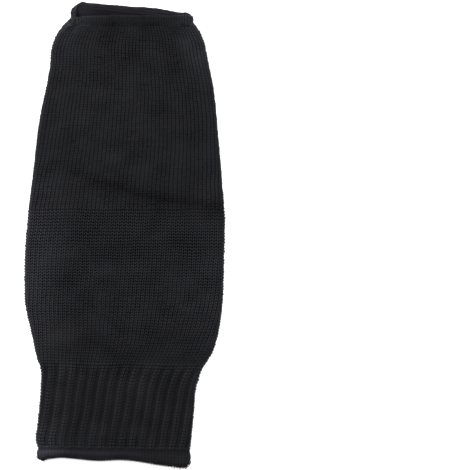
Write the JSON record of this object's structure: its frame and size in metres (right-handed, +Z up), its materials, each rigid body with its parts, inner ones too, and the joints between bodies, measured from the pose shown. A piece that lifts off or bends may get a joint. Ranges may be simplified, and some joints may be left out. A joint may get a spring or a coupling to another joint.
{
  "type": "cut resistant sleeve",
  "caption": "Knitted tube worn over the forearm and elbow against cuts, with a ribbed wrist cuff, a welted wrist edge and an upper edge that curls outwards, lying flat.",
  "frame": {"origin": "on the surface that the sleeve lies on, under the middle of its length and width", "axes": "+Y along the sleeve from the wrist to the upper arm, +X across it, +Z up from the surface"},
  "size_m": [0.1504, 0.3495, 0.017],
  "materials": {
    "plain_knit": "matt black spun yarn, plain knit, about 8 wales to the inch",
    "rib_knit": "matt black spun yarn in a 2x1 rib",
    "curled_edge_knit": "matt black spun yarn, plain knit curled outwards",
    "welt_knit": "matt charcoal elastic yarn, smooth welt with an overlocked edge"
  },
  "bodies": {
    "root": {"upper_arm_tube": "plain_knit", "forearm_tube": "plain_knit", "wrist_rib_cuff": "rib_knit", "top_rolled_edge": "curled_edge_knit", "wrist_rolled_hem": "welt_knit"}
  },
  "joints": []
}
